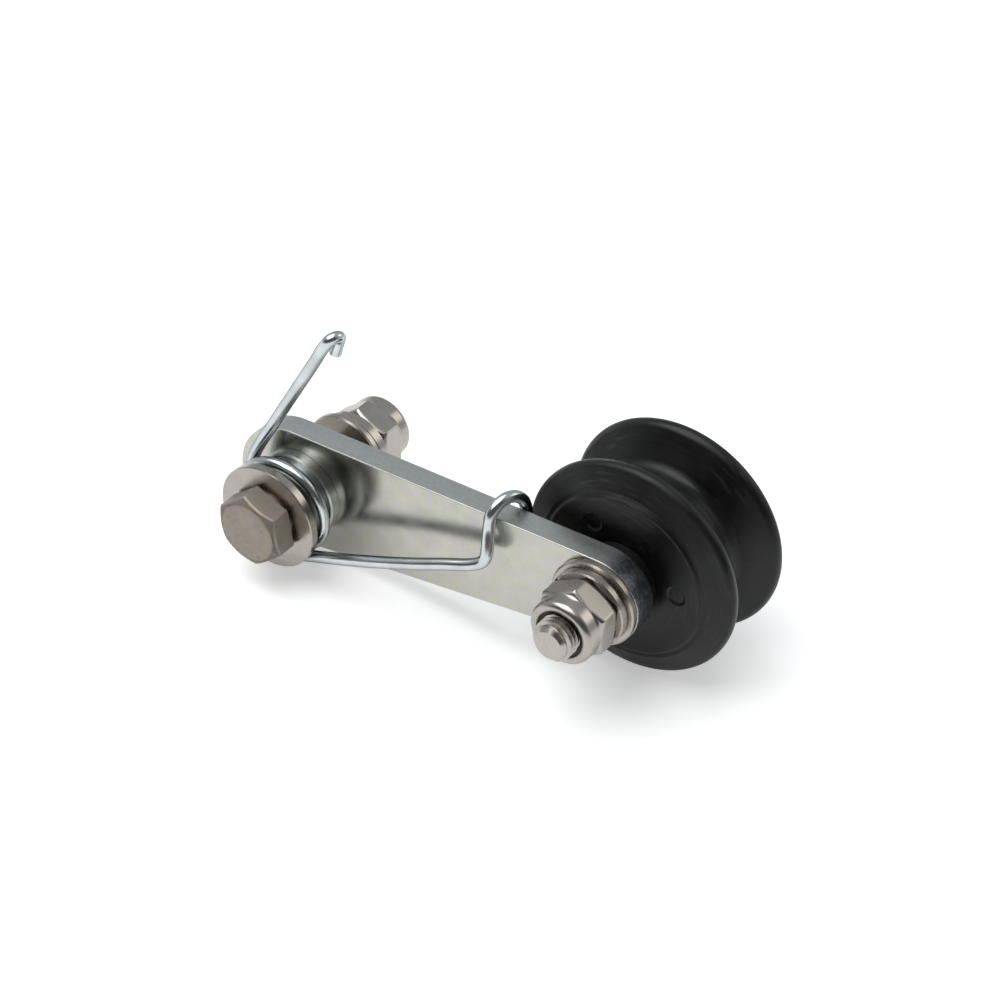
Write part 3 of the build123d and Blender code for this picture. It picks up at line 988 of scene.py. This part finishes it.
class TENSIONER_OT_roller(bpy.types.Operator):
    """Finish the black roller, its spacers and its sleeve"""

    bl_idname = "tensioner.roller"
    bl_label = "Roller and spacers"

    def execute(self, context):
        look = context.scene.tensioner_finish
        centre = (axle_x, 0, axle_z)
        black = plastic_finish("roller_black", look.roller, look.roller_rough, centre, 1800, look.roller_wear)
        dress(("roller",), black)
        # the spacers' black is partly painted shade for the dark gap between the arm and the roller
        black = plastic_finish("spacer_black", look.spacer, look.spacer_rough, centre, 2600, look.small_wear)
        dress(("near_spacer", "far_spacer"), black)
        steel = turned_finish("stainless_sleeve", look.steel, look.turned_rough, centre, look.sleeve_lines)
        dress(("axle_sleeve",), steel)
        return {"FINISHED"}


class TENSIONER_OT_stage(bpy.types.Operator):
    """Set the pale floor, the soft light and the camera"""

    bl_idname = "tensioner.stage"
    bl_label = "Stage"

    def execute(self, context):
        scene = context.scene
        stage = scene.tensioner_stage
        scene.view_settings.view_transform = "Standard"
        self.lay_floor(scene, stage)
        self.light_world(scene)
        self.hang_lamp(scene, stage)
        lens = bpy.data.cameras.new("camera")
        lens.sensor_fit = "HORIZONTAL"
        lens.sensor_width = SENSOR
        lens.lens = LENS
        eye = bpy.data.objects.new("camera", lens)
        eye.location = EYE
        eye.rotation_euler = GAZE
        scene.collection.objects.link(eye)
        scene.camera = eye
        return {"FINISHED"}

    def lay_floor(self, scene, stage):
        """Pale floor, white where it is seen, that keeps the shadow."""
        half = FLOOR_HALF
        corners = [(-half, -half, 0), (half, -half, 0), (half, half, 0), (-half, half, 0)]
        mesh = bpy.data.meshes.new("floor")
        mesh.from_pydata(corners, [], [(0, 1, 2, 3)])
        material = bpy.data.materials.new("pale_floor")
        material.use_nodes = True
        tree = material.node_tree
        tree.nodes.clear()
        out = tree.nodes.new("ShaderNodeOutputMaterial")
        both = tree.nodes.new("ShaderNodeAddShader")
        paint = tree.nodes.new("ShaderNodeBsdfDiffuse")
        glow = tree.nodes.new("ShaderNodeEmission")
        light = tree.nodes.new("ShaderNodeLightPath")
        paint.inputs["Color"].default_value = (*stage.floor, 1)
        glows = []
        rays = {"Is Camera Ray": stage.lift, "Is Glossy Ray": stage.sheen, "Is Transmission Ray": stage.lift}
        for name, strength in rays.items():
            part = tree.nodes.new("ShaderNodeMath")
            part.operation = "MULTIPLY"
            part.inputs[1].default_value = strength
            tree.links.new(light.outputs[name], part.inputs[0])
            glows.append(part.outputs[0])
        while len(glows) > 1:
            most = tree.nodes.new("ShaderNodeMath")
            most.operation = "MAXIMUM"
            tree.links.new(glows.pop(), most.inputs[0])
            tree.links.new(glows.pop(), most.inputs[1])
            glows.append(most.outputs[0])
        tree.links.new(glows[0], glow.inputs["Strength"])
        tree.links.new(paint.outputs[0], both.inputs[0])
        tree.links.new(glow.outputs[0], both.inputs[1])
        tree.links.new(both.outputs[0], out.inputs["Surface"])
        mesh.materials.append(material)
        floor = bpy.data.objects.new("floor", mesh)
        floor.location = (0, 0, floor_z - FLOOR_DROP)
        scene.collection.objects.link(floor)

    def light_world(self, scene):
        """Calm bluish grey room, dark behind the camera, with a soft window behind on the right."""
        world = bpy.data.worlds.new("soft_room")
        world.use_nodes = True
        scene.world = world
        tree = world.node_tree
        back = tree.nodes["Background"]
        place = tree.nodes.new("ShaderNodeTexCoord")

        def towards(way, low, high):
            """0 to 1 as a direction comes near the way given."""
            near = tree.nodes.new("ShaderNodeVectorMath")
            near.operation = "DOT_PRODUCT"
            near.inputs[1].default_value = way
            tree.links.new(place.outputs["Generated"], near.inputs[0])
            ease = tree.nodes.new("ShaderNodeMapRange")
            ease.interpolation_type = "SMOOTHSTEP"
            ease.inputs["From Min"].default_value = low
            ease.inputs["From Max"].default_value = high
            tree.links.new(near.outputs["Value"], ease.inputs["Value"])
            return ease.outputs["Result"]

        def blended(factor, one, two):
            mix = tree.nodes.new("ShaderNodeMix")
            mix.data_type = "RGBA"
            tree.links.new(factor, mix.inputs[0])
            for socket, value in ((mix.inputs[6], one), (mix.inputs[7], two)):
                if isinstance(value, tuple):
                    socket.default_value = (*value, 1)
                else:
                    tree.links.new(value, socket)
            return mix.outputs[2]

        room = blended(towards(DARK_WAY, 0.0, 0.5), ROOM_GREY, ROOM_DARK)
        room = blended(towards(WINDOW_WAY, 0.95, 0.99), room, WINDOW_LIGHT)
        tree.links.new(room, back.inputs["Color"])

    def hang_lamp(self, scene, stage):
        """Large soft light above, aimed at the middle of the arm."""
        lamp = bpy.data.lights.new("key_light", "AREA")
        lamp.shape = "SQUARE"
        lamp.size = LAMP_WIDTH
        lamp.energy = stage.key
        hung = bpy.data.objects.new("key_light", lamp)
        hung.location = LAMP_PLACE
        way = Vector(LAMP_AIM) - Vector(LAMP_PLACE)
        hung.rotation_euler = way.to_track_quat("-Z", "Y").to_euler()
        scene.collection.objects.link(hung)


class TENSIONER_PT_pieces(bpy.types.Panel):
    """Pieces and settings of the chain tensioner"""

    bl_idname = "TENSIONER_PT_pieces"
    bl_label = "Chain tensioner"
    bl_space_type = "VIEW_3D"
    bl_region_type = "UI"
    bl_category = "Tensioner"

    def draw(self, context):
        for step in STEPS:
            self.layout.operator(step.bl_idname)
        for name in GROUPS:
            box = self.layout.box()
            group = getattr(context.scene, name)
            for key in group.bl_rna.properties.keys():
                if key not in ("rna_type", "name"):
                    box.prop(group, key)


GROUPS = {
    "tensioner_spring": SpringSizes,
    "tensioner_fasteners": FastenerSizes,
    "tensioner_finish": FinishColours,
    "tensioner_stage": StageSettings,
}
STEPS = (
    TENSIONER_OT_spring,
    TENSIONER_OT_bolts,
    TENSIONER_OT_lock_nuts,
    TENSIONER_OT_washers,
    TENSIONER_OT_bush,
    TENSIONER_OT_arm,
    TENSIONER_OT_roller,
    TENSIONER_OT_stage,
)


def register():
    for name, group in GROUPS.items():
        bpy.utils.register_class(group)
        setattr(bpy.types.Scene, name, PointerProperty(type=group))
    for step in (*STEPS, TENSIONER_PT_pieces):
        bpy.utils.register_class(step)


def unregister():
    for step in (TENSIONER_PT_pieces, *reversed(STEPS)):
        bpy.utils.unregister_class(step)
    for name, group in GROUPS.items():
        delattr(bpy.types.Scene, name)
        bpy.utils.unregister_class(group)


def main():
    register()
    for step in STEPS:
        group, name = step.bl_idname.split(".")
        getattr(getattr(bpy.ops, group), name)()
    bpy.context.view_layer.update()


if __name__ == "__main__":
    main()
